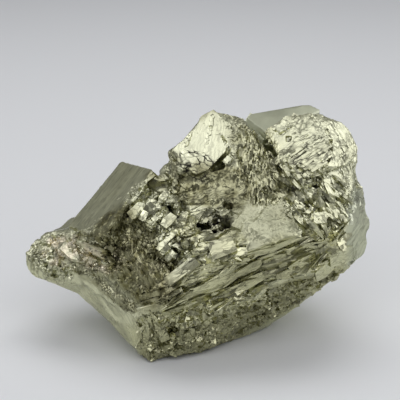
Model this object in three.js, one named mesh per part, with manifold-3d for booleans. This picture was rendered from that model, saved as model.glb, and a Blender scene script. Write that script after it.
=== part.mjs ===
// Pyrite specimen: one natural mass of intergrown pyrite, about as long as a hand is wide.
// A broken mass of solid ore stands on a flat fracture. Three large crystals and several
// smaller ones grow out of its top and ends, and a crust of little cubes covers its broken
// sides. Everything has grown together, so the whole specimen is one solid.
//
// Millimetres, +Z up, front towards -Y. The origin is the middle of the box's underside.

import * as THREE from "three";
import { ConvexGeometry } from "three/addons/geometries/ConvexGeometry.js";
import { mergeVertices } from "three/addons/utils/BufferGeometryUtils.js";
import Module from "manifold-3d";

// ---- Driving dimensions --------------------------------------------------------------

const LENGTH = 99.5; // overall, along X; all other sizes keep their proportion to it
const DRAWN_LENGTH = 99.5; // the length that the corners below are drawn for
const SCALE = LENGTH / DRAWN_LENGTH;

const CRUST_SEED = 7;
const CRUST_PROUD = 0.3; // share of a crust cube's edge by which it stands out of the mass
const CRUST_WOBBLE = 0.2; // radians by which a crust cube may turn from the growth axes
const CRUST_FLOOR = 2; // no crust grows lower than this, so that the foot stays flat
const CORNER_CUT = 0.12; // share of a crystal's shortest size taken off at its corners

// Pyrite grown in one mass keeps much the same axes throughout: two cube edges and, by
// their cross product, the way its showing faces look.
const GROWTH_EDGE = new THREE.Vector3(0.59, 0.5, 0.63).normalize();
const GROWTH_FACE = new THREE.Vector3(-0.05, -0.754, 0.647).normalize();

// ---- The mass: chunks of solid ore, each the hull of its corners ----------------------

// Corners where chunks meet, from the foot up.
const foot = [-13.5, -23.5, 0];
const footLeft = [-16.5, -19.5, 0];
const footRight = [14, -11.5, 0];
const ridgeLeft = [-13, -27, 15];
const ridgeFan = [-8, -28.5, 21];
const ridgeMid = [4.5, -28, 31.5];
const ridgeHigh = [15.5, -27, 34.5];
const ridgeRight = [25.5, -26, 38];
const rimLow = [25.5, -5, 3.5];
const rimRight = [41, -14, 21.5];
const armTip = [-50, -7, 25.5];
const armTipLow = [-46, -9, 18];
const armLow = [-35, -9, 12.5];
const armCrook = [-33.5, -13.5, 20.5];
const lowerTop = [-27, -17, 20];
const lowerRight = [-20, -22.5, 16];
const slopeLeft = [-21.5, -20, 28];
const slopeTop = [-16, -15, 42.5];
const ledgeLeft = [2, -17, 43.5];
const ledgeRight = [24, -17, 45];
const hollowTop = [7.5, -12, 52.5];
const shoulderTop = [28.5, -15, 49];
const shoulderLow = [41.5, -17, 37.5];
const backLeft = [-20, 18, 22];
const backRight = [27, 21, 34];

const CHUNKS = {
  root: [
    foot, footLeft, footRight, [21, -5, 0], [22, 9, 0], [12, 17, 0], [-9, 17, 0],
    [-20, 5, 0], [-19, -13, 0], ridgeLeft, ridgeFan, ridgeMid, ridgeHigh, rimLow,
    lowerRight, [-16, 18, 18], [16, 20, 22], [24, 12, 20],
  ],
  lowerLeftWall: [
    armLow, armCrook, lowerTop, lowerRight, ridgeLeft, foot, footLeft, [-22, -16.5, 4],
    [-29, -12.5, 9], [-26, 6, 14], [-20, 8, 4], [-33, 5, 22], [-14, 6, 30],
  ],
  leftArm: [
    armTip, armTipLow, [-48, -5, 27.5], [-44, -3, 30], [-37, -2, 31.5], armLow, armCrook,
    [-41.5, -12.5, 24.5], lowerTop, [-32.5, -6, 32.5], [-22, -17, 33], [-42, 7, 22],
    [-39, 7, 30], [-30, 12, 16], [-24, 10, 34], [-47, 1, 25],
  ],
  leftSlope: [
    ridgeLeft, ridgeFan, slopeLeft, slopeTop, [-10.5, -14, 45], [-8.5, -24.5, 33.5],
    [-2, -27, 27], lowerTop, [-22, -17, 33], [-22, 6, 30], [-10, 0, 20], [-24, 0, 24],
  ],
  middle: [
    ridgeFan, ridgeMid, ridgeHigh, ridgeRight, [-8.5, -24.5, 33.5], [-5.5, -17, 45],
    ledgeLeft, [11.5, -17, 43.5], ledgeRight, [-18, 14, 30], [24, 20, 30],
    [0, 14, 42], [22, 10, 44], [30, 8, 30], [-10, 14, 12], [20, 16, 12],
  ],
  upperWall: [
    slopeTop, [-10.5, -14, 45], [-5.5, -17, 44.5], ledgeLeft, ledgeRight, [-5.5, -13, 49],
    [-0.5, -12, 50.5], hollowTop, [18, -10, 53], [25.5, -12, 49], [-12, 10, 38],
    [0, 14, 46], [20, 14, 47], [26, 12, 36], [-6, 12, 30],
  ],
  rightOverhang: [
    ridgeHigh, ridgeRight, [37.5, -21, 35], rimRight, [45, -11, 23.5], [39, -9, 17],
    [34.5, -6.5, 12], [30.5, -5, 7.5], rimLow, [24, -4, 4], [14, -10, 2], [30, 16, 26],
    [40, 11, 30], [20, 18, 14], [42, 7, 40], [10, -20, 24],
  ],
  rightShoulder: [
    [41.5, -6, 51], [45.5, -1, 53.5], [46, -3, 49.5], [46, -3, 45.5], [48, -3, 42.5], [48.5, -4, 38],
    [49.5, -6, 33.5], shoulderLow, [37.5, -21, 35], shoulderTop, ridgeRight, ledgeRight,
    [40, 12, 34], [44, 7, 42], [28, 14, 48], [44, 7, 30], [30, 14, 26],
  ],
  saddle: [
    [10, 3, 63], [14, 4, 62], [15.5, -3, 60], [10, -6, 60], [18.5, -9.5, 54],
    hollowTop, [23.5, -12, 50], [20, 12, 48], [4, 10, 50], [14, 8, 54],
  ],
  saddleTop: [
    [5, 1.5, 65], [9.5, 2, 63.5], [13.5, 2.5, 63], [14.5, -2, 60.5], [10.5, -4.5, 60], [6, 8, 56],
    [14, 8, 56],
  ],
  drusyBelly: [
    [-10.5, -25, 4], [-3, -27, 13], [8.5, -26.5, 19.5], [18, -22, 19.5], [22.5, -13, 9],
    [15, -12, 2], [5, -17, 1.5], [-5, -22, 1], [0, -5, 4], [10, -4, 12], [-4, -8, 14],
  ],
  back: [
    backLeft, [-14, 24, 10], [18, 25, 14], backRight, [18, 23, 46], [-6, 20, 42],
    [-18, 12, 36], [28, 14, 20], [-16, 12, 6], [14, 14, 4],
  ],
};

// ---- The large crystals, broken where they meet the mass ------------------------------

const CRYSTALS = {
  topCrystal: [
    [-6, -8, 57], [1, -1, 64.5], [4.5, 0.5, 66], [9, -3, 62.5], [10, -6, 60],
    [7.5, -9.5, 56], [3, -13.5, 52.5], [-0.5, -15, 51], [-3.5, -12.5, 53.5],
    [-4, 8, 40], [8, 14, 44], [12, 8, 54], [4, 7, 60],
  ],
  topCrystalFlank: [
    [-11, -2, 48.5], [-6, -8, 57], [-3.5, -12.3, 53.5], [-6, -13, 47.5], [-10.5, -9, 47.5],
    [-2, 8, 40], [-10, 8, 40], [-3, 4, 50],
  ],
  rightCrystal: [
    [19, -5, 61], [24.5, -1, 64.5], [34, 0, 65], [35.5, -3, 63.5], [36.5, -9.5, 57],
    [35, -13.5, 53.5], [28, -17, 50.5], [24.5, -15, 52], [21.5, -9, 58], [40, -1, 62.5],
    [43, -2.5, 59], [44.5, -4, 56], [44.5, -6, 54], [41, -10.5, 52.5], [26, 14, 44],
    [40, 11, 44], [42, 8, 54], [28, 12, 57],
  ],
  rightEndCrystal: [
    [41.5, -15.5, 38], [49.5, -6, 33.5], [49, -7, 29], [48, -8, 25], [45.5, -11, 24.5],
    [41, -16.5, 26.5], [44, 7, 32], [41, 7, 22], [34, 0, 28], [36, 6, 38],
  ],
  rearCrystal: [
    [14.5, 16, 59], [16, 17, 60], [30, 17, 62], [31.5, 18, 62.5], [33.5, 18, 62.5],
    [36.5, 16, 61.5], [21, 8, 56], [13, 28, 44], [33, 28, 46], [33, 22, 38],
    [12, 22, 38], [30, 26, 54], [16, 26, 54], [34, 12, 57],
  ],
  armRearCrystal: [
    [-44.5, 2, 28.5], [-40.5, 4, 31.5], [-35, 4, 32.5], [-38, 10, 30], [-40, 12, 24],
    [-26, 16, 30], [-26, 14, 20],
  ],
};

// Whole cube-shaped crystals: `at` is the middle of the showing face, which looks along
// `facing` and has its long edge along `edge`; sizes run along it, across it and inwards.
const BLOCKS = [
  // the tall striated crystal on the left
  {
    at: [-24.4, -6.6, 41.7], facing: [-0.57, -0.272, 0.775], edge: [0.611, 0.515, 0.601],
    size: [25, 20, 18], cornerCut: 0.02,
  },
  // cubes in the broken front, from left to right
  { at: [-12.5, -19.5, 42], size: [7, 6, 6] },
  { at: [-7.5, -24, 37], size: [6, 5, 6] },
  { at: [-6, -27.2, 27.5], size: [8, 4.5, 5] },
  { at: [5, -24.5, 37], size: [9, 10, 7] },
  { at: [9.5, -27, 35], size: [8, 6, 6] },
  { at: [21, -22.5, 41.5], size: [12, 9, 8] },
  { at: [32.5, -21, 42], size: [7, 6, 6] },
  { at: [36.5, -19.5, 36.5], size: [8, 6, 6] },
  { at: [34.6, -21.4, 33.9], size: [4, 3.4, 4] },
  // plates that stand out of the ridge below them
  { at: [-5.2, -28.6, 27.2], facing: [-0.35, -0.75, 0.55], size: [13, 2.4, 5] },
  { at: [28.5, -22, 28.3], facing: [0.1, -0.9, 0.35], edge: [0.9, 0.3, 0.4], size: [9, 4, 5] },
  { at: [33.8, -19, 28], facing: [0.3, -0.9, 0.3], edge: [0.9, 0.3, 0.5], size: [8, 4, 5] },
  { at: [31, -16.5, 22], facing: [0.1, -0.9, -0.1], edge: [0.9, 0.2, 0.5], size: [8, 3.4, 5] },
  // cubes on the back
  { at: [-9, 26, 33], facing: [-0.2, 0.9, 0.4], size: [14, 13, 12] },
  { at: [9, 28, 22], facing: [0.1, 0.95, -0.2], size: [16, 14, 14] },
  { at: [25, 24, 38], facing: [0.45, 0.85, 0.2], size: [12, 12, 10] },
  { at: [-22, 18, 25], facing: [-0.6, 0.75, 0.1], size: [12, 10, 10] },
  { at: [6, 24, 46], facing: [-0.1, 0.8, 0.6], size: [13, 11, 10] },
  { at: [36, 16, 32], facing: [0.8, 0.6, 0], size: [12, 11, 10] },
];

// Patches of crust: small cubes sunk in the mass within `reach` of `at`.
const CRUST = [
  { at: [-37, -8, 30], reach: 11, count: 16, edges: [2, 4.5] }, // top of the arm
  { at: [-17, -19, 30], reach: 9, count: 12, edges: [1.6, 3.4] }, // left slope
  { at: [-11, -19, 41], reach: 9, count: 12, edges: [2, 4.5] }, // above the slope
  { at: [3, -22, 40], reach: 9, count: 9, edges: [2, 4] }, // middle of the front
  { at: [16, -10, 54], reach: 8, count: 12, edges: [2, 4] }, // saddle between the crystals
  { at: [36, -14, 44], reach: 11, count: 18, edges: [2, 4.6] }, // right shoulder
  { at: [38, -14, 22], reach: 11, count: 12, edges: [2, 4.5] }, // right rim
  { at: [4, -24, 12], reach: 17, count: 30, edges: [1.6, 3.6] }, // drusy belly
  { at: [24, -12, 14], reach: 13, count: 16, edges: [1.6, 3.6] },
  { at: [-18, -20, 8], reach: 8, count: 8, edges: [1.6, 3.2] }, // lower left
  { at: [4, 24, 34], reach: 28, count: 34, edges: [3, 7] }, // back
  { at: [-28, 10, 22], reach: 16, count: 16, edges: [2.4, 5.5] },
  { at: [36, 8, 28], reach: 18, count: 16, edges: [2.4, 5.5] },
];

// Sharp-sided pockets left between crystals in the front.
const POCKETS = [
  { at: [2.5, -22.5, 42.5], size: [6, 2.6, 3], cornerCut: 0.2 },
  { at: [8.5, -22, 41.5], size: [4.5, 2.2, 3], cornerCut: 0.2 },
  { at: [-9, -20.5, 43.5], size: [2.6, 2.4, 3], cornerCut: 0.2 },
  { at: [-6.5, -25, 33], size: [4.5, 1.8, 2.5], cornerCut: 0.2 },
];

// ---- Making the solids ---------------------------------------------------------------

const wasm = await Module();
wasm.setup();

const toVector = (value) => (value.isVector3 ? value.clone() : new THREE.Vector3(...value));

function solidFrom(geometry) {
  geometry.deleteAttribute("normal");
  geometry.deleteAttribute("uv");
  const merged = mergeVertices(geometry, 1e-4);
  return new wasm.Manifold(
    new wasm.Mesh({
      numProp: 3,
      vertProperties: merged.attributes.position.array,
      triVerts: new Uint32Array(merged.index.array),
    }),
  );
}

const hull = (corners) => solidFrom(new ConvexGeometry(corners.map(toVector)));

// A cube-shaped crystal with its corners cut off, as the octahedron's faces cut them.
function crystal({
  at, size, facing = GROWTH_FACE, edge = GROWTH_EDGE, cornerCut = CORNER_CUT,
}) {
  const out = toVector(facing).normalize();
  const across = new THREE.Vector3().crossVectors(out, toVector(edge)).normalize();
  const along = new THREE.Vector3().crossVectors(across, out);
  const cut = cornerCut * Math.min(...size);
  const corners = [];
  for (const x of [-1, 1])
    for (const y of [-1, 1])
      for (const z of [-1, 1])
        for (const axis of [0, 1, 2]) {
          const corner = [x, y, z].map((side, i) => side * (size[i] / 2 - (i === axis ? cut : 0)));
          corners.push(new THREE.Vector3(...corner));
        }
  const place = new THREE.Matrix4().makeBasis(along, across, out);
  place.setPosition(toVector(at).addScaledVector(out, -size[2] / 2));
  return solidFrom(new ConvexGeometry(corners).applyMatrix4(place));
}

const join = (solids) => solids.reduce((all, next) => all.add(next));

// Random numbers from 0 to 1 that are the same on every run.
function randomFrom(seed) {
  return () => {
    seed = (seed + 0x6d2b79f5) | 0;
    let t = Math.imul(seed ^ (seed >>> 15), 1 | seed);
    t = (t + Math.imul(t ^ (t >>> 7), 61 | t)) ^ t;
    return ((t ^ (t >>> 14)) >>> 0) / 4294967296;
  };
}

// The triangles of a solid, each with its corners, area and outward normal.
function trianglesOf(solid) {
  const { numProp, vertProperties, triVerts } = solid.getMesh();
  const corner = (i) => new THREE.Vector3().fromArray(vertProperties, triVerts[i] * numProp);
  const triangles = [];
  for (let i = 0; i < triVerts.length; i += 3) {
    const shape = new THREE.Triangle(corner(i), corner(i + 1), corner(i + 2));
    triangles.push({ shape, area: shape.getArea(), normal: shape.getNormal(new THREE.Vector3()) });
  }
  return triangles;
}

// A point picked evenly over some triangles, with the normal there.
function pickOn(triangles, random) {
  const whole = triangles.reduce((sum, { area }) => sum + area, 0);
  let left = random() * whole;
  const found = triangles.find(({ area }) => (left -= area) <= 0) ?? triangles[0];
  const [u, v] = [random(), random()];
  const [s, t] = u + v > 1 ? [1 - u, 1 - v] : [u, v];
  const { a, b, c } = found.shape;
  const point = a.clone().addScaledVector(b.clone().sub(a), s).addScaledVector(c.clone().sub(a), t);
  return { point, normal: found.normal };
}

// One patch of crust: cubes that keep nearly the growth axes, sunk in the mass.
function crustOf(patch, triangles, random) {
  const middle = toVector(patch.at);
  const cubes = [];
  while (cubes.length < patch.count) {
    const { point, normal } = pickOn(triangles, random);
    if (point.distanceTo(middle) > patch.reach || point.z < CRUST_FLOOR) continue;
    const [smallest, largest] = patch.edges;
    const size = smallest + (largest - smallest) * random() ** 2;
    const turn = new THREE.Euler(...[0, 1, 2].map(() => (random() - 0.5) * 2 * CRUST_WOBBLE));
    const facing = GROWTH_FACE.clone().applyEuler(turn);
    const edge = GROWTH_EDGE.clone().applyEuler(turn);
    const across = new THREE.Vector3().crossVectors(facing, edge);
    const reach = [facing, edge, across].reduce((sum, way) => sum + Math.abs(way.dot(normal)), 0) / 2;
    const centre = point.clone().addScaledVector(normal, size * (CRUST_PROUD - reach));
    const at = centre.addScaledVector(facing, size / 2);
    const width = size * (0.7 + 0.3 * random());
    cubes.push(crystal({ at, facing, edge, size: [size, width, size], cornerCut: 0 }));
  }
  return cubes;
}

const chunks = join(Object.values(CHUNKS).map(hull));
const surface = trianglesOf(chunks);
const random = randomFrom(CRUST_SEED);
const crust = CRUST.flatMap((patch) => crustOf(patch, surface, random));

const mass = join([chunks, ...Object.values(CRYSTALS).map(hull), ...BLOCKS.map(crystal), ...crust]);

// The specimen stands on a flat fracture: all below z = 0 is gone.
const below = solidFrom(new THREE.BoxGeometry(300, 300, 50).translate(0, 0, -25));
const trimmed = [below, ...POCKETS.map(crystal)].reduce((all, cut) => all.subtract(cut), mass);

// Only the outer skin is kept, so gaps sealed inside the mass are solid.
const skins = trimmed.decompose().sort((a, b) => b.volume() - a.volume());
const specimen = skins[0];

function meshOf(name, solid, material) {
  const { numProp, vertProperties, triVerts } = solid.getMesh();
  const positions = new Float32Array((vertProperties.length / numProp) * 3);
  for (let i = 0; i < positions.length / 3; i++)
    positions.set(vertProperties.subarray(i * numProp, i * numProp + 3), i * 3);
  const geometry = new THREE.BufferGeometry();
  geometry.setAttribute("position", new THREE.BufferAttribute(positions, 3));
  geometry.setIndex(new THREE.BufferAttribute(triVerts, 1));
  geometry.scale(SCALE, SCALE, SCALE);
  geometry.computeBoundingBox();
  const middle = geometry.boundingBox.getCenter(new THREE.Vector3());
  geometry.translate(-middle.x, -middle.y, -geometry.boundingBox.min.z);
  const mesh = new THREE.Mesh(geometry, material);
  mesh.name = name;
  return mesh;
}

const pyrite = new THREE.MeshStandardMaterial({ color: 0xa6a384, roughness: 0.35, metalness: 1 });

const group = new THREE.Group();
group.add(meshOf("pyrite_cluster", specimen, pyrite));
export default group;
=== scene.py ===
import bpy
import math
import numpy as np
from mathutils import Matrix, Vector


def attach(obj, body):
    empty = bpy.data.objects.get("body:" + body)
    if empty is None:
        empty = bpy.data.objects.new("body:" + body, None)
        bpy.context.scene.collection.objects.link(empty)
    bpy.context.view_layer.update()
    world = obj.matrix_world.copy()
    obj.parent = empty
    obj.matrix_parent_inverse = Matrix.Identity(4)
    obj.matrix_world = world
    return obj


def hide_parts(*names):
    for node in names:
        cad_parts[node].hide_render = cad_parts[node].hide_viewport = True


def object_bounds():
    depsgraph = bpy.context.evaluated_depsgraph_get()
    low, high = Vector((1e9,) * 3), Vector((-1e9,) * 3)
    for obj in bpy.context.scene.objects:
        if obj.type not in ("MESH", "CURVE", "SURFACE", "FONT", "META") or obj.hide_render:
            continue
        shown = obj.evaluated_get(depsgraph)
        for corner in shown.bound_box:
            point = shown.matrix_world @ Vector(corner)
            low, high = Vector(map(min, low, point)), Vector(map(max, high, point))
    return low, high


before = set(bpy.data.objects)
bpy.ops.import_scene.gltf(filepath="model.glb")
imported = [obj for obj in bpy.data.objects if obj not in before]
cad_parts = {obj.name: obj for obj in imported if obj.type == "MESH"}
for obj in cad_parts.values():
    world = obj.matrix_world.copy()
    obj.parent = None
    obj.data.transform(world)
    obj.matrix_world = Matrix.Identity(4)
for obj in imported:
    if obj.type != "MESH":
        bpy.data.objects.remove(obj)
cad_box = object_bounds()

# ---- The table and the light ----------------------------------------------------------
# The specimen stands on a wide matt floor. Four softboxes light the metal only and two light
# the floor only, and the room behind is brighter than the room in front.

ELEVATION = math.radians(20)
DISTANCE = 0.322
LOOK_AT = Vector((0.00095, 0.0006, 0.0388))
METAL_LIGHT = (0.97, 0.97, 1.09)
FLOOR_LIGHT = (1, 1, 1)
ROOM_LIGHT = (0.97, 0.98, 1.0, 1)

camera = bpy.data.objects.new("camera", bpy.data.cameras.new("camera"))
bpy.context.collection.objects.link(camera)
camera.data.lens = 100
camera.data.sensor_width = 36
camera.data.clip_start = 0.01
away = Vector((0, math.cos(ELEVATION), -math.sin(ELEVATION)))
camera.location = LOOK_AT - DISTANCE * away
camera.rotation_euler = away.to_track_quat("-Z", "Y").to_euler()
bpy.context.scene.camera = camera
bpy.context.scene.view_settings.view_transform = "Standard"

bpy.ops.object.select_all(action="DESELECT")
bpy.ops.mesh.primitive_circle_add(vertices=96, radius=4, fill_type="NGON", location=(0, 0, 0))
floor = bpy.context.object
floor.name = "floor"
card = bpy.data.materials.new("pale_card")
card.use_nodes = True
card_shader = card.node_tree.nodes["Principled BSDF"]
card_shader.inputs["Base Color"].default_value = (0.79, 0.80, 0.82, 1)
card_shader.inputs["Roughness"].default_value = 0.9
card_shader.inputs["Specular IOR Level"].default_value = 0.1
floor.data.materials.append(card)


def softbox(name, place, size, power, on_metal):
    """A rectangle of light that faces the specimen, and shows in the metal or on the floor."""
    light = bpy.data.lights.new(name, "AREA")
    light.color = METAL_LIGHT if on_metal else FLOOR_LIGHT
    light.shape = "RECTANGLE"
    light.size, light.size_y = size
    light.energy = power
    box = bpy.data.objects.new(name, light)
    bpy.context.collection.objects.link(box)
    box.location = place
    box.rotation_euler = (-Vector(place)).to_track_quat("-Z", "Y").to_euler()
    box.visible_glossy = on_metal
    box.visible_diffuse = not on_metal


softbox("overhead", (-0.02, -0.235, 0.62), (0.6, 0.50), 1.15, on_metal=True)
softbox("right", (0.46, -0.06, 0.37), (0.5, 0.5), 1.2, on_metal=True)
softbox("left", (-0.42, -0.20, 0.40), (0.5, 0.5), 1.0, on_metal=True)
softbox("back", (0.19, 0.12, 0.56), (0.3, 0.3), 0.16, on_metal=True)
softbox("floor_light", (0.03, 0.22, 0.75), (0.6, 0.4), 2.3, on_metal=False)
softbox("floor_fill", (0.07, -0.50, 0.60), (1.6, 0.6), 3.3, on_metal=False)

world = bpy.data.worlds.new("room")
bpy.context.scene.world = world
world.use_nodes = True
room = world.node_tree
direction = room.nodes.new("ShaderNodeTexCoord")
parts = room.nodes.new("ShaderNodeSeparateXYZ")
room.links.new(direction.outputs["Generated"], parts.inputs[0])
strength = None
# Backwards and upwards: where the change starts and ends, and how bright it is there.
for axis, low, high, dark, bright in (("Y", -0.9, 0.5, 0.10, 0.24), ("Z", 0.0, 0.8, 0.0, 0.12)):
    part = room.nodes.new("ShaderNodeMapRange")
    part.interpolation_type = "SMOOTHSTEP"
    for title, value in (("From Min", low), ("From Max", high), ("To Min", dark), ("To Max", bright)):
        part.inputs[title].default_value = value
    room.links.new(parts.outputs[axis], part.inputs["Value"])
    total = room.nodes.new("ShaderNodeMath")
    room.links.new(part.outputs["Result"], total.inputs[0])
    total.inputs[1].default_value = 0
    if strength is not None:
        room.links.new(strength, total.inputs[1])
    strength = total.outputs[0]
room.links.new(strength, room.nodes["Background"].inputs["Strength"])
room.nodes["Background"].inputs["Color"].default_value = ROOM_LIGHT

# ---- The mass -------------------------------------------------------------------------
# One solid lump of pyrite. It grew as crystals that ran into each other, and it was broken
# out of the rock, so its large crystals stand on a body of broken ore. Sizes and places are
# in millimetres.

MM = 0.001
SKIN = 0.36  # the distance of the mass's corners before the flat places are thinned out
KEPT = 0.4  # the share of the triangles that is left then
CREASE = math.radians(9)  # faces that meet at a smaller angle look like one

# Which way things run: the edges of the crystals, the layers under the ridge, the plates over
# it, the breaks at the top right and below it, the band beside them, the splinters between the
# two upper crystals, and the rotten ore on the left.
EDGE = (0.59, 0.5, 0.63)
FLOW = (0.93, 0.18, 0.32)
PLATE = (0.93, 0.10, 0.34)
SLANT = (0.81, 0.43, 0.40)
TORN = (0.70, -0.50, -0.51)
BAND = (0.66, -0.55, -0.51)
RISE = (0.1, 0.6, 0.8)
ROT = (0.45, -0.45, -0.77)


def only(piece):
    bpy.ops.object.select_all(action="DESELECT")
    piece.select_set(True)
    bpy.context.view_layer.objects.active = piece


def read(piece):
    """Where a mesh's corners are, in millimetres, and which way it faces there."""
    mesh = piece.data
    p = np.empty(len(mesh.vertices) * 3)
    n = np.empty(len(mesh.vertices) * 3)
    mesh.vertices.foreach_get("co", p)
    mesh.vertex_normals.foreach_get("vector", n)
    return p.reshape(-1, 3) / MM, n.reshape(-1, 3)


def write(piece, p):
    piece.data.vertices.foreach_set("co", (p * MM).ravel())
    piece.data.update()


def edges_of(piece):
    ends = np.empty(len(piece.data.edges) * 2, dtype=np.int64)
    piece.data.edges.foreach_get("vertices", ends)
    return ends.reshape(-1, 2).T


def near_sum(one, two, value):
    """For each corner, the sum of a vector over its neighbours."""
    size = len(value)
    near = [np.bincount(one, value[two, k], size) + np.bincount(two, value[one, k], size) for k in range(3)]
    return np.stack(near, 1)


def calm(piece, n, times):
    """Normals evened out over the neighbours, so that small lumps don't turn them."""
    one, two = edges_of(piece)
    for _ in range(times):
        n = n + near_sum(one, two, n)
        n /= np.linalg.norm(n, axis=1)[:, None]
    return n


def evened(piece, p, share, times):
    """Corners moved towards the middle of their neighbours, so that small lumps go."""
    one, two = edges_of(piece)
    count = np.maximum(np.bincount(one, minlength=len(p)) + np.bincount(two, minlength=len(p)), 1)
    for _ in range(times):
        p = p + 0.7 * share[:, None] * (near_sum(one, two, p) / count[:, None] - p)
    return p


def smooth(x):
    x = np.clip(x, 0, 1)
    return x * x * (3 - 2 * x)


def scatter(cell, seed):
    """Even random numbers from 0 to 1, always the same for a cell and a seed."""
    n = (cell * (73856093, 19349663, 83492791)).sum(-1) + seed * 1013904223 & 0xFFFFFFFF
    n = (n ^ n >> 15) * 739982445 & 0xFFFFFFFF
    n = (n ^ n >> 13) * 695872825 & 0xFFFFFFFF
    return ((n ^ n >> 16) & 0xFFFFFF) / 0xFFFFFF


def cloud(p, size, seed, octaves=3):
    """Soft noise from -1 to 1, with lumps of about that size."""
    total, weight = 0, 1
    for octave in range(octaves):
        q = p / size * 2**octave + 31.7 * octave
        base = np.floor(q).astype(np.int64)
        f = smooth(q - base)
        value = 0
        for corner in np.ndindex(2, 2, 2):
            share = np.prod(np.where(np.array(corner) == 1, f, 1 - f), axis=1)
            value = value + share * (scatter(base + corner, seed + octave) * 2 - 1)
        total = total + value * weight
        weight *= 0.5
    return total / (2 - 2 * weight)


def zone(p, start, end, radius, ragged=0.25):
    """1 in a rounded stretch from start to end, fading to 0 at its ragged border."""
    start, end = np.array(start, float), np.array(end, float)
    way = end - start
    t = np.clip((p - start) @ way / max(way @ way, 1e-9), 0, 1)
    far = np.linalg.norm(p - start - t[:, None] * way, axis=1) / radius
    value = np.zeros(len(p))
    near = far < 1.5
    far = far[near] + ragged * cloud(p[near], radius * 0.5, 5, 2)
    value[near] = smooth((1.15 - far) / 0.3)
    return value


def most(p, places, ragged=0.25):
    return np.max([zone(p, *place, ragged=ragged) for place in places], axis=0)


def lying(n, along):
    """Three directions for each place: along the surface, across it, and out of it."""
    run = along - n * (n * along).sum(1)[:, None]
    run /= np.linalg.norm(run, axis=1)[:, None]
    return np.stack([run, np.cross(n, run), n], 1)


def chips(q, slope, seed):
    """Random flat cells: each place's height from -1 to 1, and how far it is from the next cell."""
    base = np.floor(q).astype(np.int64)
    best = np.full(len(q), 9.0)
    second = best.copy()
    level = np.zeros(len(q))
    for step in np.ndindex(3, 3, 3):
        cell = base + step - 1
        gap = q - cell - 0.1 - 0.8 * np.stack([scatter(cell, seed + k) for k in range(3)], 1)
        far = (gap**2).sum(1)
        near = far < best
        second = np.where(near, best, np.minimum(second, far))
        best = np.where(near, far, best)
        lean = 2 * np.stack([scatter(cell[near], seed + k) for k in (3, 4)], 1) - 1
        level[near] = 2 * scatter(cell[near], seed + 5) - 1 + slope * (lean * gap[near, :2]).sum(1)
    return level, np.sqrt(second) - np.sqrt(best)


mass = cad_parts["pyrite_cluster"].copy()
mass.data = mass.data.copy()
mass.name = "pyrite_mass"
bpy.context.collection.objects.link(mass)
only(mass)
bpy.ops.object.mode_set(mode="EDIT")
bpy.ops.mesh.select_all(action="SELECT")
bpy.ops.mesh.remove_doubles(threshold=1e-6)
bpy.ops.object.mode_set(mode="OBJECT")
skin = mass.modifiers.new("skin", "REMESH")
skin.mode = "VOXEL"
skin.voxel_size = SKIN * MM
bpy.ops.object.modifier_apply(modifier=skin.name)

# A place is a stretch: where it starts and ends, and how far it reaches round that line.
QUIET = [
    # smooth places inside the broken ones
    ((-12, -7.5, 48.5), (-9, -9, 46), 2.6),
    ((-32, -13.5, 18), (-19, -20.5, 8), 3.8),
    ((-42, 1, 30), (-36, 1, 32), 3.5),
]
EVEN = [
    # the shell-like hollow in the middle
    ((1, -13.5, 47.5), (9, -14, 47.5), 4),
]
WHOLE = [
    # crystals that kept their flat faces
    ((-30, -6, 37), (-20, 2, 48), 13),
    ((1, -8, 57), (5, -3, 62), 9.5),
    ((28, -9, 57), (32, -3, 62), 11.5),
    ((18, 17, 58), (32, 18, 60), 9),
    ((46, -10, 31), (46, -8, 34), 7),
    ((-30, -14, 17), (-18, -21, 9), 6),
    ((-42, 0, 30), (-36, 0, 32), 4.5),
]
WHOLE_DEPTH = 0.1  # how deep the whole faces lie in the solid
BROKEN_DEPTH = 0.35  # how much deeper the broken ones lie, and how much that varies
BROKEN_WAVES = 0.3

p, _ = read(mass)
p = evened(mass, p, most(p, QUIET), 60)
p = evened(mass, p, most(p, EVEN), 25)
write(mass, p)
p, n = read(mass)
n = calm(mass, n, 3)
whole = most(p, WHOLE, ragged=0.05)
quiet = most(p, QUIET)
height = -WHOLE_DEPTH - (1 - whole) * (BROKEN_DEPTH - BROKEN_WAVES * cloud(p, 5, 900))

PITS = [
    # middle, the way it runs, how far it reaches along it, half of its reach across, its depth
    ((3.5, -21, 40), PLATE, 2.8, 0.55, 3),
    ((7.8, -20.3, 39.8), (0.8, 0.1, -0.6), 1.4, 0.45, 2.5),
    ((6, -22, 38.3), PLATE, 1.2, 0.4, 1.5),
    ((-7.5, -11.5, 41.5), (0.6, 0.5, 0.6), 1.2, 1.0, 3),
    ((27, -15, 47.5), (0.7, -0.5, -0.5), 1.2, 0.4, 1.4),
    ((30, -18, 44), (0.7, -0.5, -0.5), 1.2, 0.4, 1.4),
    ((36, -15, 44), (0.7, -0.5, -0.5), 1.0, 0.35, 1.4),
    ((32, -13, 48), (0.7, -0.5, -0.5), 1.2, 0.35, 1.4),
    ((25.5, -6.5, 59.5), (1, 0, 0), 0.6, 0.35, 0.6),
    ((4.5, -25, 35.5), (1, -0.1, 0.1), 1.6, 0.25, 1.2),
    ((4, -26.5, 34), (1, -0.1, 0.1), 1.3, 0.2, 1.2),
    ((-3, -23.5, 35), (0.9, 0.1, 0.3), 1.2, 0.4, 1.5),
    ((8.5, -17.5, 44), (0.8, 0.2, -0.6), 0.9, 0.4, 1.5),
]
for middle, run, reach_along, half_across, depth in PITS:
    q = p - middle
    along = np.abs(q @ (np.array(run) / np.linalg.norm(run)))
    across = np.sqrt(np.maximum((q**2).sum(1) - along**2, 0))
    edge = np.maximum(along / reach_along, across / (2 * half_across)) + 0.5 * cloud(p, 1.2, 60, 2)
    height -= depth * smooth((1.1 - edge) / 0.3)

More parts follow.
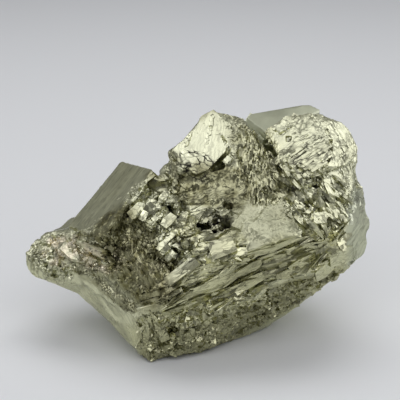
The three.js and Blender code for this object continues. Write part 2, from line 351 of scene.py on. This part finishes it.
BITES = [
    # middle, how far it reaches, how deep it is; filled where it is below 0
    ((-10.5, -8, 47.5), 3, 1.8),
    ((26, -11, 49.5), 3, -2.0),
    ((29, -12, 48.5), 3, -1.5),
    ((-3, -10, 51.3), 2.6, -1.8),
    ((10.6, -18, 40), 2.4, -1.8),
    ((46.5, -3, 47.5), 3.5, 1.6),
    ((49, -5, 37.5), 2, 0.8),
    ((49.5, -7, 30.5), 2, 0.8),
]
for middle, reach, depth in BITES:
    height -= depth * zone(p, middle, middle, reach, ragged=0.1)

SPLITS = [
    # narrow cracks from place to place, and how deep they are; a raised rim where it is below 0
    (((36, -4.5, 61.5), (37, -6.5, 59), (37, -8.5, 57), (36.5, -11, 55), (34.5, -13.5, 52.5)), 0.5),
    (((34, -14, 52.3), (31, -15.5, 50.7), (28.5, -16, 50.7), (25.5, -14.5, 52), (24, -11, 55.5)), 0.9),
    (((20.5, -4, 61), (23.5, -5, 60.5), (27, -3.5, 62)), 0.5),
    (((7.5, -1.5, 62.5), (6.5, -4, 60.5), (8, -6.5, 58.5)), 0.5),
    (((-22, -1, 47), (-32, -9.5, 37)), 0.25),
    (((-2.8, -7, 58), (-1.5, -3.5, 61), (0.5, -1, 63.3)), 0.3),
    (((2.8, -7, 58.5), (4, -3, 62), (4.5, -0.6, 64.5)), 0.2),
    (((-11, -6.5, 51.3), (-13, -8.7, 49.2), (-14.7, -9.7, 47.5), (-15.7, -11, 46),
      (-17, -12.5, 44.5)), -0.55),
]
SPLIT_REACH = 0.45
for places, depth in SPLITS:
    for start, end in zip(places, places[1:]):
        height -= depth * zone(p, start, end, SPLIT_REACH, ragged=0.1)

BREAKS = {
    # How the ore broke: the way its steps run, their length, width, height and slope, and where.
    "grown": ((0.611, 0.515, 0.601), 14, 1.8, 0.03, 1.0,
              [((-30, -6, 37), (-20, 2, 48), 14), ((46, -8, 34), (45, -11, 28), 6)]),
    "lined": ((-0.35, -0.2, 0.9), 6, 1.6, 0.25, 0.3,
              [((-48, -7, 24), (-41, -9, 22), 6)]),
    "fanned": ((0.22, 0.71, 0.66), 9, 1.6, 0.05, 1.0,
               [((1, -8, 58), (5, -3, 62), 8)]),
    "meshed": ((0.9, -0.3, -0.3), 2.5, 1.5, 0.04, 0.3,
               [((-2.5, -11, 54), (1, -12, 53), 4)]),
    "slanted": (SLANT, 9, 1.3, 0.15, 0.15,
                [((28, -11, 55), (32, -9, 57), 5.5), ((-7, -29, 25), (-1, -27, 31), 2.5)]),
    "torn": (TORN, 4.5, 1.3, 0.6, 0.5,
             [((24, -12, 49), (40, -14, 44), 7), ((30, -18, 43), (36, -21, 36), 7)]),
    "edged": (BAND, 9, 1.1, 0.15, 0.4,
              [((38, -1, 62), (43, -5, 54), 6)]),
    "blocky": (EDGE, 3.5, 2.6, 0.15, 0.25,
               [((23, -2, 62), (33, -1, 64), 4.5), ((38, -8, 57), (42, -9, 53), 4),
                ((11, -4, 61), (12, -7, 58), 2.5), ((44, -7, 51), (47, -6, 42), 4)]),
    "broken": (EDGE, 4.2, 3.2, 0.8, 0.3,
               [((-13, -14, 43), (-8, -22, 36), 8), ((-42, -8, 27), (-38, -10, 28), 6)]),
    "fibrous": (RISE, 5, 1.0, 0.45, 0.5,
                [((16, -5, 59), (19, -14, 48), 6)]),
    "layered": (PLATE, 7, 1.6, 0.45, 0.35,
                [((-1, -23, 39), (8, -26, 35), 6), ((-2, -17, 45), (9, -18, 44.5), 4)]),
    "frosted": (PLATE, 1.4, 1.2, 0.07, 0.8,
                [((12, -20, 41), (22, -23, 41), 6), ((10, 1, 63), (13, -2, 61), 4)]),
    "hollow": ((0.7, 0.2, 0.6), 3, 2.2, 0.04, 0.8,
               [((0, -13, 48), (9, -14, 47.5), 6)]),
    "flowing": (FLOW, 12, 1.7, 0.6, 0.5,
                [((-6, -29, 21), (33, -23, 32), 6.5), ((8, -25, 24), (36, -17, 26), 8)]),
    "spread": ((0.3, -0.5, -0.8), 7, 1.3, 0.3, 0.5,
               [((-14, -26, 15), (-13, -25, 8), 5)]),
    "sandy": (EDGE, 2.6, 2.2, 0.5, 0.6,
              [((-40, -10, 21), (-34, -12.5, 20), 3.5), ((-9, -24, 8), (24, -14, 11), 9),
               ((26, -14, 15), (40, -10, 25), 5)]),
    "rotten": (ROT, 3.2, 1.5, 0.33, 0.6,
               [((-23, -16, 34), (-12, -24, 24), 8), ((-9, -9, 51), (-6, -11, 47), 5),
                ((-33, -13, 25), (-19, -21, 17), 3.5)]),
    "back": (EDGE, 6, 5, 0.8, 0.3,
             [((-10, 24, 26), (26, 24, 30), 26)]),
    "stepped": ((0.62, -0.4, -0.65), 8, 3, 0.3, 0.12,
                [((-32, -13.5, 19), (-18, -21, 9), 5)]),
    "shelly": ((0.9, -0.3, -0.3), 6, 3.6, 0.7, 0.4,
               [((-38, -11, 30), (-25, -16, 29), 5.5)]),
}
ON_QUIET = "stepped"  # the only break that shows in the smooth places too
SWERVE = 0.2  # how far the steps leave their straight run, as a share of their width
GROOVE = 0.3  # how deep the groove between two steps is, as a share of their height
GROOVE_REACH = 0.2
FINEST = 0.9  # no narrower steps are cut, because the skin can't show them
for seed, (name, (run, length, width, step, slope, places)) in enumerate(BREAKS.items()):
    share = most(p, places) * (1 if name == ON_QUIET else 1 - quiet)
    here = np.flatnonzero(share)
    facing = (n[here] * share[here, None]).sum(0)
    basis = lying(facing[None] / np.linalg.norm(facing), np.array(run))[0]
    swerve = np.stack([cloud(p[here], 4 * width, 70 + k, 2) for k in range(3)], 1)
    q = p[here] @ basis.T + SWERVE * width * swerve
    for octave, finer in enumerate((1, 2.2)):
        if width / finer < FINEST:
            break
        level, border = chips(q * finer / (length, width, width), slope, 20 * seed + 7 * octave)
        dent = level - GROOVE * smooth(1 - border / GROOVE_REACH)
        height[here] += share[here] * step / finer * dent

PULLS = [
    # middle, how far it reaches, how the mass is drawn out there
    ((-17, -22, 0), 18, (0.5, -4, 0)),
    ((2, -19, 0), 14, (0, -4, 0)),
    ((42, -2, 58), 12, (1.0, 0, 0.2)),
    ((-46, -8, 22), 7, (-1.8, 0, -0.8)),
    ((-40, 4, 32), 8, (0, 0, -1.8)),
    ((-7, -5, 56), 5, (-1.2, 0, 1)),
    ((-8.5, -6, 51), 3.5, (1, 0, -1)),
]
moved = p + n * height[:, None]
for middle, reach, way in PULLS:
    moved += smooth(1 - np.linalg.norm(p - middle, axis=1) / reach)[:, None] * way
moved = evened(mass, moved, quiet, 4)
moved = evened(mass, moved, most(p, EVEN), 12)
moved[:, 2] = np.maximum(moved[:, 2], 0)
write(mass, moved)
thin = mass.modifiers.new("thin", "DECIMATE")
thin.ratio = KEPT
bpy.ops.object.modifier_apply(modifier=thin.name)
bpy.ops.object.shade_smooth_by_angle(angle=CREASE)

# The finish and the painted shade: every break has its own fine grain, some places are matt, olive, grey
# or warm, and some get painted shade, dark olive-brown or near black in the pits. Each place ends with how
# much of that it has.
FINISH_AND_SHADE = {name: [(*place, 1.0) for place in places] for name, (*_, places) in BREAKS.items()}
FINISH_AND_SHADE.update({
    "matt": [((12, -21, 41), (22, -23, 40), 6, 1.0),
             ((-30, -6, 37), (-20, 2, 48), 12, 0.4),
             ((46, -10, 31), (46, -8, 34), 7, 0.7),
             ((18, 17, 58), (32, 18, 60), 9, 0.7)],
    # painted shade: dark olive-brown mixed in where shade falls, in the pocket, the hollow and the
    # underside, and on broken places that face away from the light
    "painted_shade": [((-31, -14, 23), (-19, -21, 17), 3, 0.8),
             ((-23, -18.5, 26), (-18, -21, 24), 4.5, 1.4),
             ((-27, -16.5, 19.2), (-17.5, -22.8, 15), 1.8, 1.0),
             ((12, -21, 41), (22, -23, 40), 6, 0.3),
             ((-30, -6, 37), (-20, 2, 48), 12, 0.3),
             ((-21, -17, 35), (-12, -24, 24), 8.5, 1.3),
             # painted shade along the upper edges of the top crystal, where its top face turns away from the
             # light
             ((-3, -3, 62.3), (4.5, 1, 66.3), 1.3, 0.6),
             ((4.5, 1, 66.3), (12, 1.5, 63), 1.3, 0.6),
             ((-12, -7.5, 48.5), (-9, -9, 46), 3, 1.0),
             ((14, -4, 58), (18, -13, 48), 6.5, 0.5),
             ((0, -13, 48), (9, -14, 47.5), 6.5, 1.1),
             ((-47, -8, 24), (-46, -8, 23), 3, 0.2),
             ((18, 17, 58), (32, 18, 60), 9, 0.25),
             ((-8, -8, 52), (-7, -9, 50), 5, 0.8),
             ((-9, -24, 4), (24, -14, 8), 8, 0.6),
             ((26, -14, 15), (38, -11, 21), 6, 0.4),
             ((10, -24, 27), (24, -21, 28), 5, 0.5)],
    "olive": [((-6, -29, 21), (33, -23, 32), 8, 1.0),
              ((-9, -24, 8), (24, -14, 11), 10, 1.0),
              ((26, -14, 15), (40, -10, 25), 7, 1.0),
              ((-1, -23, 39), (8, -26, 35), 6, 1.0),
              ((0, -13, 48), (9, -14, 47.5), 6, 1.0),
              ((16, -5, 59), (19, -14, 48), 6, 1.0),
              ((-21, -17, 35), (-12, -24, 24), 8.5, 1.0),
              ((28, -14, 49), (34, -18, 42), 7, 0.25)],
    "grey": [((46, -10, 31), (46, -8, 36), 8, 1.0),
             ((18, 17, 58), (32, 18, 60), 9, 1.0)],
    "warm": [((-40, -10, 28), (-24, -16, 28), 5, 0.8),
             ((-18, -20, 29), (-12, -24, 24), 7, 0.25)],
    # painted shade: the pits, near black where they are deepest
    "shaded_pits": [(middle, middle, reach + 0.3 * depth, 1.0) for middle, _, reach, _, depth in PITS],
})
OLD_GOLD, PALE_GOLD = (0.60, 0.60, 0.39), (0.66, 0.665, 0.45)
OLIVE, GREY, WARM = (0.63, 0.625, 0.385), (0.58, 0.60, 0.43), (0.95, 0.85, 0.62)
# Painted shade colours: dark olive-brown for shaded places, and near black for the shade in cracks, hollows
# and pits.
SHADE_BROWN, CRACK_SHADE, PIT_SHADE = (0.17, 0.16, 0.07), (0.03, 0.028, 0.02), (0.03, 0.025, 0.03)
# painted shade at the foot of each small crystal, none on its outer side
FOOT_SHADE = (0.4, 0)  # how deep a small crystal's foot and its outer side look


def hollowness(piece):
    """How deep each corner lies in a crack or a pit, from 0 to 1, which sets how dark the painted shade
    there is.
    """
    p, n = read(piece)
    q = evened(piece, p, np.ones(len(p)), 4)
    return smooth(((q - p) * n).sum(1) / 0.6 - 0.15)


def node(tree, kind, **settings):
    made = tree.nodes.new(kind)
    for key, value in settings.items():
        setattr(made, key, value)
    return made


def group_of(name, inputs, outputs):
    tree = bpy.data.node_groups.new(name, "ShaderNodeTree")
    for title, socket, value in inputs:
        made = tree.interface.new_socket(title, in_out="INPUT", socket_type=socket)
        if value is not None:
            made.default_value = value
    for title, socket in outputs:
        tree.interface.new_socket(title, in_out="OUTPUT", socket_type=socket)
    return tree, node(tree, "NodeGroupInput"), node(tree, "NodeGroupOutput")


# Small flat facets that each look their own way, longer than wide, with thin cracks between them that are
# painted dark as shade.
hackly, given, made = group_of(
    "hackly break",
    [("Vector", "NodeSocketVector", None), ("Run", "NodeSocketVector", None),
     ("Stretch", "NodeSocketFloat", 3), ("Grains per metre", "NodeSocketFloat", 800)],
    [("Lean", "NodeSocketVector"), ("Crack", "NodeSocketFloat")],
)
link = hackly.links.new
wander = node(hackly, "ShaderNodeTexNoise")
wander.inputs["Scale"].default_value = 250
link(given.outputs["Vector"], wander.inputs["Vector"])
sway = node(hackly, "ShaderNodeVectorMath", operation="SCALE")
sway.inputs["Scale"].default_value = 0.0025
link(wander.outputs["Color"], sway.inputs[0])
swayed = node(hackly, "ShaderNodeVectorMath", operation="ADD")
link(given.outputs["Vector"], swayed.inputs[0])
link(sway.outputs[0], swayed.inputs[1])
way = node(hackly, "ShaderNodeVectorMath", operation="DOT_PRODUCT")
link(swayed.outputs[0], way.inputs[0])
link(given.outputs["Run"], way.inputs[1])
spare = node(hackly, "ShaderNodeMath", operation="DIVIDE")
spare.inputs[0].default_value = 1
link(given.outputs["Stretch"], spare.inputs[1])
less = node(hackly, "ShaderNodeMath", operation="SUBTRACT")
link(spare.outputs[0], less.inputs[0])
less.inputs[1].default_value = 1
amount = node(hackly, "ShaderNodeMath", operation="MULTIPLY")
link(way.outputs["Value"], amount.inputs[0])
link(less.outputs[0], amount.inputs[1])
shift = node(hackly, "ShaderNodeVectorMath", operation="SCALE")
link(given.outputs["Run"], shift.inputs[0])
link(amount.outputs[0], shift.inputs["Scale"])
squeezed = node(hackly, "ShaderNodeVectorMath", operation="ADD")
link(swayed.outputs[0], squeezed.inputs[0])
link(shift.outputs[0], squeezed.inputs[1])
cell = node(hackly, "ShaderNodeTexVoronoi")
edge = node(hackly, "ShaderNodeTexVoronoi", feature="DISTANCE_TO_EDGE")
for texture in (cell, edge):
    link(squeezed.outputs[0], texture.inputs["Vector"])
    link(given.outputs["Grains per metre"], texture.inputs["Scale"])
centre = node(hackly, "ShaderNodeVectorMath", operation="SUBTRACT")
link(cell.outputs["Color"], centre.inputs[0])
centre.inputs[1].default_value = (0.5, 0.5, 0.5)
link(centre.outputs[0], made.inputs["Lean"])
crack = node(hackly, "ShaderNodeMapRange")
crack.inputs["From Min"].default_value = 0
crack.inputs["From Max"].default_value = 0.16
crack.inputs["To Min"].default_value = 1
crack.inputs["To Max"].default_value = 0
link(edge.outputs["Distance"], crack.inputs["Value"])
link(crack.outputs["Result"], made.inputs["Crack"])

pyrite = bpy.data.materials.new("pyrite")
pyrite.use_nodes = True
tree = pyrite.node_tree
link = tree.links.new
shader = tree.nodes["Principled BSDF"]
shader.inputs["Metallic"].default_value = 1
place = node(tree, "ShaderNodeTexCoord")
geometry = node(tree, "ShaderNodeNewGeometry")
mask = {name: node(tree, "ShaderNodeAttribute", attribute_name=name).outputs["Fac"]
        for name in (*FINISH_AND_SHADE, "deep")}


def math_node(operation, one, two):
    made = node(tree, "ShaderNodeMath", operation=operation)
    for socket, value in zip(made.inputs, (one, two)):
        if isinstance(value, (int, float)):
            socket.default_value = value
        else:
            link(value, socket)
    return made.outputs[0]


def vector_node(operation, one, two):
    made = node(tree, "ShaderNodeVectorMath", operation=operation)
    link(one, made.inputs[0])
    link(two, made.inputs["Scale" if operation == "SCALE" else 1])
    return made.outputs[0]


def noise(scale, detail=4):
    made = node(tree, "ShaderNodeTexNoise")
    made.inputs["Scale"].default_value = scale
    made.inputs["Detail"].default_value = detail
    link(place.outputs["Object"], made.inputs["Vector"])
    return made.outputs["Fac"]


def ramp(value, low, high, to_low=0.0, to_high=1.0):
    made = node(tree, "ShaderNodeMapRange", interpolation_type="SMOOTHSTEP")
    for title, number in (("From Min", low), ("From Max", high), ("To Min", to_low), ("To Max", to_high)):
        made.inputs[title].default_value = number
    link(value, made.inputs["Value"])
    return made.outputs["Result"]


def mix(share, one, two):
    made = node(tree, "ShaderNodeMix", data_type="RGBA")
    sockets = [s for s in made.inputs if s.enabled]
    for socket, value in zip(sockets, (share, one, two)):
        if isinstance(value, tuple):
            socket.default_value = (*value, 1)
        else:
            link(value, socket)
    return [s for s in made.outputs if s.enabled][0]


# Each kind of break: grains per metre, how much longer than wide they are, lean, and how dark the painted
# shade in its cracks is.
FINE = {
    "grown": (700, 20, 0.09, 0.4), "lined": (900, 6, 0.15, 0.6), "fanned": (900, 12, 0.12, 0.3),
    "meshed": (750, 2.0, 0.05, 1.6), "slanted": (1000, 5, 0.12, 1.0), "torn": (1100, 4, 0.33, 0.6),
    "edged": (1300, 8, 0.15, 0.6), "blocky": (700, 1.3, 0.12, 0.7), "broken": (800, 1.3, 0.25, 0.6),
    "fibrous": (1400, 4, 0.5, 0.6), "layered": (1200, 5, 0.3, 0.7), "frosted": (2400, 1.2, 0.5, 0.2),
    "hollow": (1800, 1.5, 0.35, 0.3), "flowing": (1300, 7, 0.25, 0.5), "spread": (1300, 8, 0.25, 0.5),
    "sandy": (1400, 1.3, 0.4, 0.5), "rotten": (1500, 2.5, 0.4, 0.6), "back": (700, 1.5, 0.2, 0.3),
    "stepped": (700, 8, 0.08, 0.3), "shelly": (900, 3, 0.25, 0.5),
}
normal = geometry.outputs["Normal"]
cracks = 0.0
for name, (grains, stretch, lean, darkness) in FINE.items():
    layer = node(tree, "ShaderNodeGroup", node_tree=hackly)
    link(place.outputs["Object"], layer.inputs["Vector"])
    layer.inputs["Run"].default_value = Vector(BREAKS[name][0]).normalized()
    layer.inputs["Stretch"].default_value = stretch
    layer.inputs["Grains per metre"].default_value = grains
    tilt = vector_node("SCALE", layer.outputs["Lean"], math_node("MULTIPLY", mask[name], lean))
    normal = vector_node("ADD", normal, tilt)
    crack = math_node("MULTIPLY", layer.outputs["Crack"], math_node("MULTIPLY", mask[name], darkness))
    cracks = math_node("MAXIMUM", cracks, crack)
unit = node(tree, "ShaderNodeVectorMath", operation="NORMALIZE")
link(normal, unit.inputs[0])
link(unit.outputs[0], shader.inputs["Normal"])
cracks = math_node("MULTIPLY", cracks, ramp(noise(350), 0.4, 0.6, 0.3, 1.0))

tint = mix(ramp(noise(60), 0.3, 0.7), OLD_GOLD, PALE_GOLD)
tint = mix(mask["olive"], tint, OLIVE)
tint = mix(mask["grey"], tint, GREY)
tint = mix(math_node("MULTIPLY", mask["warm"], ramp(noise(300), 0.35, 0.65)), tint, WARM)
# Painted shade: shaded places turn patchily towards dark olive-brown.
shadow = math_node("MULTIPLY", mask["painted_shade"], ramp(noise(400, 6), 0.3, 0.7, 0.5, 1.0))
tint = mix(math_node("MULTIPLY", shadow, 0.8), tint, SHADE_BROWN)
# Painted shade: near black along the thin cracks and in the hollows of the mass.
tint = mix(math_node("MAXIMUM", cracks, math_node("MULTIPLY", mask["deep"], 0.9)), tint, CRACK_SHADE)
# Painted shade: near black inside the pits, most where they are deepest.
pit_darkening = math_node("MULTIPLY", mask["shaded_pits"], ramp(mask["deep"], 0.0, 0.6, 0.4, 1.0))
tint = mix(pit_darkening, tint, PIT_SHADE)
link(tint, shader.inputs["Base Color"])
gloss = math_node("ADD", ramp(noise(220, 6), 0.3, 0.7, 0.2, 0.34), math_node("MULTIPLY", mask["matt"], 0.25))
link(math_node("ADD", gloss, math_node("MULTIPLY", cracks, 0.3)), shader.inputs["Roughness"])


def finish_and_shade(piece):
    """How much of each finish and painted shade every corner has, the material, and what the piece stands
    for.
    """
    p, _ = read(piece)
    quiet = most(p, QUIET)
    for name, places in FINISH_AND_SHADE.items():
        value = np.zeros(len(p))
        for start, end, radius, amount in places:
            value = np.maximum(value, amount * zone(p, start, end, radius))
        if name in BREAKS and name != ON_QUIET:
            value *= 1 - quiet
        piece.data.attributes.new(name, "FLOAT", "POINT").data.foreach_set("value", value)
    # Painted shade: darker in the hollows of the mass and at the foot of each small crystal.
    deep = hollowness(piece) if piece is mass else np.tile(FOOT_SHADE, len(p) // 2)
    piece.data.attributes.new("deep", "FLOAT", "POINT").data.foreach_set("value", deep)
    piece.data.materials.clear()
    piece.data.materials.append(pyrite)
    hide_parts("pyrite_cluster")
    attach(piece, "root")


finish_and_shade(mass)

# ---- The broken steps -----------------------------------------------------------------
# Steps, splinters and blocks of pyrite a few millimetres long, where the mass broke along its
# crystals. Each is a short bar, grown from the mass and sunk into it.

rng = np.random.default_rng(12)
GROWTH = np.array([EDGE, (0, 0, 0), (-0.05, -0.754, 0.647)])  # along a crystal, across it, out of it
GROWTH[2] /= np.linalg.norm(GROWTH[2])
GROWTH[0] -= GROWTH[0] @ GROWTH[2] * GROWTH[2]
GROWTH[0] /= np.linalg.norm(GROWTH[0])
GROWTH[1] = np.cross(GROWTH[2], GROWTH[0])

BAR = np.array(list(np.ndindex(3, 2, 2))) / (2, 1, 1) - 0.5
SIDES = ((0, 4, 5, 1), (2, 3, 7, 6), (0, 2, 6, 4), (1, 5, 7, 3))
BAR_FACES = [[half + k for k in side] for side in SIDES for half in (0, 4)]
BAR_FACES = np.array([[0, 1, 3, 2], [8, 10, 11, 9], *BAR_FACES])
UNLIKE = 0.35  # how much the sizes of like bars vary
TAPER = 0.2  # how much a bar may narrow outwards

p, n = read(mass)
n = calm(mass, n, 5)


def turned(basis, loose, count):
    """Copies of three directions, each turned a little its own way."""
    angle = rng.normal(0, loose, (count, 3))
    cross = np.zeros((count, 3, 3))
    cross[:, 0, 1], cross[:, 0, 2], cross[:, 1, 2] = -angle[:, 2], angle[:, 1], -angle[:, 0]
    cross -= cross.transpose(0, 2, 1)
    far = np.maximum(np.linalg.norm(angle, axis=1), 1e-9)[:, None, None]
    spin = np.eye(3) + np.sin(far) / far * cross + (1 - np.cos(far)) / far**2 * (cross @ cross)
    return basis @ spin.transpose(0, 2, 1)


def bars(middle, extent, basis, ends, taper):
    """Corners of bars: square, or narrowed to their ends, and narrowed a little outwards."""
    local = np.repeat(BAR[None], len(middle), 0)
    local[:, 4:8, 0] += rng.uniform(-0.25, 0.25, (len(middle), 1))
    narrow = ends + (1 - ends) * 0.5 * rng.random((len(middle), 2))
    local[:, :4, 1:] *= narrow[:, 0, None, None]
    local[:, 8:, 1:] *= narrow[:, 1, None, None]
    lean = taper * rng.uniform(-1, 1, (len(middle), 2))
    local[:, :, :2] *= 1 + 2 * lean[:, None] * BAR[None, :, 2:]
    return np.einsum("icj,ij,ijk->ick", local, extent, basis) + middle[:, None]


def placed(middle, size, along, out, ends=1.0):
    """One bar in a chosen place."""
    out = np.array(out, float)
    basis = lying((out / np.linalg.norm(out))[None], np.array(along, float))
    return bars(np.array([middle], float), np.array([size], float), basis, ends, TAPER / 2)


def grow(start, end, radius, count, sizes, shape=(1, 0.8, 0.8), proud=0.25, loose=0.15,
         along=None, centre=None, ends=1.0):
    """Bars that stand out of the mass in one place. They lie as the crystals grew, along a
    direction, or away from a centre. Most are nearer the smaller size, and none leaves the box."""
    chance = zone(p, start, end, radius) * (1 - most(p, QUIET))
    if along is not None:
        chance = chance * smooth(2 - 2 * np.abs(n @ (np.array(along) / np.linalg.norm(along))))
    pick = rng.choice(len(p), count, p=chance / chance.sum())
    size = sizes[0] + (sizes[1] - sizes[0]) * rng.random(count) ** 2.5
    if centre is not None:
        basis = lying(n[pick], p[pick] - centre)
    elif along is not None:
        basis = lying(n[pick], np.array(along, float))
    else:
        basis = GROWTH[None]
    basis = turned(basis, loose, count)
    extent = size[:, None] * np.array(shape) * (1 + UNLIKE * rng.uniform(-1, 1, (count, 3)))
    reach = (np.abs(np.einsum("ijk,ik->ij", basis, n[pick])) * extent).sum(1) / 2
    out = proud * extent.min(1) * rng.uniform(0.4, 1.3, count) - reach
    made = bars(p[pick] + n[pick] * out[:, None], extent, basis, ends, TAPER)
    low, high = np.array(cad_box) / MM
    return made[((made > low) & (made < high)).all(axis=(1, 2))]


def solid_of(name, *groups):
    corners = np.concatenate(groups).reshape(-1, 3)
    first = len(BAR) * np.arange(len(corners) // len(BAR))
    faces = (BAR_FACES[None] + first[:, None, None]).reshape(-1, 4)
    mesh = bpy.data.meshes.new(name)
    mesh.from_pydata(corners * MM, [], faces)
    piece = bpy.data.objects.new(name, mesh)
    bpy.context.collection.objects.link(piece)
    only(piece)
    bpy.ops.object.mode_set(mode="EDIT")
    bpy.ops.mesh.select_all(action="SELECT")
    bpy.ops.mesh.normals_make_consistent(inside=False)
    bpy.ops.object.mode_set(mode="OBJECT")
    finish_and_shade(piece)


solid_of(
    "broken_steps",
    # left of the middle, in the plates, on the arm and at the front corner
    grow((-14, -12, 43), (-9, -22, 37), 6, 130, (1, 4.5), shape=(1, 0.7, 0.4), loose=0.25,
         proud=0.3, ends=0.5),
    grow((-1, -25, 36), (8, -27, 34), 3.5, 45, (2, 7), shape=(1, 0.4, 0.12), loose=0.1,
         proud=0.7, along=FLOW, ends=0.4),
    grow((-42, -8, 27), (-38, -10, 29), 5, 30, (1, 4), shape=(1, 0.7, 0.3), loose=0.25,
         proud=0.25, ends=0.4),
    grow((-36, -11, 30), (-26, -15, 31), 4.5, 40, (2, 8), shape=(1, 0.5, 0.25), loose=0.35,
         proud=0.6, along=(0.9, -0.3, -0.3), ends=0.3),
    grow((-6, -25, 11), (6, -23, 13), 4, 40, (1.5, 4.5), shape=(1, 0.8, 0.6), loose=0.6,
         proud=0.5, ends=0.6),
    grow((3.5, -21, 40), (8.3, -19.5, 40), 1.6, 40, (0.4, 1.1), loose=0.8, proud=0.6, ends=0.6),
    # the rim of the pocket beside the tall crystal
    placed((-12.7, -8.9, 48.8), (2.6, 0.9, 0.8), (-0.7, -0.3, -0.6), (0, -0.7, 0.7), ends=0.7),
    placed((-14.6, -9.8, 47.3), (3, 0.9, 0.8), (-0.6, -0.4, -0.7), (-0.1, -0.75, 0.65), ends=0.7),
    placed((-15.8, -11.3, 45.6), (3, 1, 0.8), (-0.5, -0.5, -0.7), (0, -0.7, 0.7), ends=0.7),
    placed((-17, -12.5, 44), (2.5, 0.8, 0.8), (-0.6, -0.4, -0.7), (0, -0.72, 0.68), ends=0.7),
    placed((-9.5, -25, 9), (4.2, 3, 3), (-0.3, -0.2, 0.93), (0.1, -0.95, 0.2), ends=0.8),
    # the torn ore below the wide crystal, the splinters left of it, and the blocks round it
    grow((24, -12, 49), (38, -14, 45), 5, 260, (1.2, 6), shape=(1, 0.3, 0.25), loose=0.12,
         proud=0.8, along=TORN, ends=0.3),
    grow((30, -18, 43), (35, -20, 38), 6, 220, (1.2, 6), shape=(1, 0.35, 0.25), loose=0.15,
         proud=0.8, along=TORN, ends=0.3),
    grow((16, -5, 58), (19, -14, 48), 5.5, 260, (0.8, 4), shape=(1, 0.25, 0.25), loose=0.2,
         proud=0.8, along=RISE, ends=0.3),
    grow((-7, -11, 49.5), (-4, -13, 48.5), 2.5, 90, (0.6, 2.2), loose=0.5, proud=0.5, ends=0.6),
    grow((44, -7, 50), (45, -8, 42), 4, 90, (0.8, 3), shape=(1, 0.7, 0.4), loose=0.15, proud=0.1),
    grow((10.5, -4, 61.5), (11.5, -8, 57), 2.5, 30, (1, 3.5), shape=(1, 0.8, 0.5), loose=0.15,
         proud=0.4),
    grow((22, -3, 61), (33, -1, 64), 4, 30, (1.5, 4.5), shape=(1, 0.8, 0.4), loose=0.03, proud=0.1),
    grow((27, -9, 57), (33, -10.5, 55.5), 3.3, 60, (3, 7.5), shape=(1, 0.18, 0.12), loose=0.02,
         proud=0.4, along=SLANT, ends=0.9),
    grow((25, -11, 50), (30, -13, 48), 3, 120, (1.2, 4), shape=(1, 0.35, 0.3), loose=0.25,
         proud=0.8, along=TORN, ends=0.4),
    # blades and blocks that stand out from the rest
    placed((-4.7, -28.5, 28.2), (7.6, 2.8, 2.4), (0.72, 0.05, 0.69), (-0.1, -0.8, 0.59)),
    placed((-1.5, -27.9, 30.2), (5, 2.6, 2), (0.72, 0.05, 0.69), (-0.1, -0.88, 0.45)),
    placed((7, -25.8, 34.5), (6.5, 4.6, 3), FLOW, (-0.1, -0.8, 0.6)),
    placed((33.5, -21, 41), (3.6, 3.2, 3), (0.9, -0.3, 0.3), (-0.1, -0.75, 0.65)),
    placed((30, -20.5, 28.5), (10, 5.5, 2), (0.85, 0.3, 0.4), (0.35, -0.85, -0.25), ends=0.6),
    placed((36, -16.5, 25), (8, 5, 2), (0.75, 0.5, 0.4), (0.6, -0.75, -0.15), ends=0.6),
)

# ---- The torn layers ------------------------------------------------------------------
# Long thin leaves of pyrite below the ridge, where the layers of the ore were torn open. They
# all run the same way, and fan out only at the front corner.

solid_of(
    "torn_layers",
    grow((-6, -29, 21), (33, -23, 32), 6, 320, (3, 14), shape=(1, 0.2, 0.07), loose=0.07,
         proud=1.0, along=FLOW, ends=0.1),
    grow((8, -25, 24), (30, -20, 26), 7, 120, (3, 12), shape=(1, 0.3, 0.1), loose=0.07,
         proud=0.8, along=FLOW, ends=0.2),
    grow((28, -21, 30), (38, -15, 26), 5, 45, (3, 9), shape=(1, 0.6, 0.15), loose=0.15,
         proud=0.5, along=FLOW, ends=0.5),
    grow((-13, -26.5, 13), (-12, -25.5, 8), 3.8, 60, (2.5, 7), shape=(1, 0.25, 0.1), loose=0.08,
         proud=0.6, centre=(-14, -28, 18), ends=0.1),
)

# ---- The druse ------------------------------------------------------------------------
# A crust of very small pyrite crystals and crumbs. It covers the underside of the front, the
# right end's foot and the rotten ore on the left, and its crystals lie every way.

solid_of(
    "druse",
    grow((-9, -24, 8), (24, -14, 11), 9, 900, (0.6, 2.6), loose=0.9, proud=0.3),
    grow((26, -14, 15), (40, -10, 25), 5, 260, (0.5, 2), loose=0.9, proud=0.4),
    grow((-33, -13, 25), (-19, -21, 17), 3, 160, (0.5, 1.8), shape=(1, 0.6, 0.4), loose=0.8,
         proud=0.4, ends=0.5),
    grow((-22, -18, 33), (-12, -24, 24), 8, 300, (0.5, 2.2), shape=(1, 0.5, 0.3), loose=0.6,
         proud=0.4, along=ROT, ends=0.5),
)

# ---- The crystals on the back ---------------------------------------------------------
# Small cubes of pyrite that cover the back of the mass. They had room to grow there, so they
# keep nearly the same axes as the large crystals.

solid_of(
    "back_crystals",
    grow((-6, 24, 30), (24, 22, 34), 22, 1200, (0.8, 6), loose=0.12, proud=0.15),
)
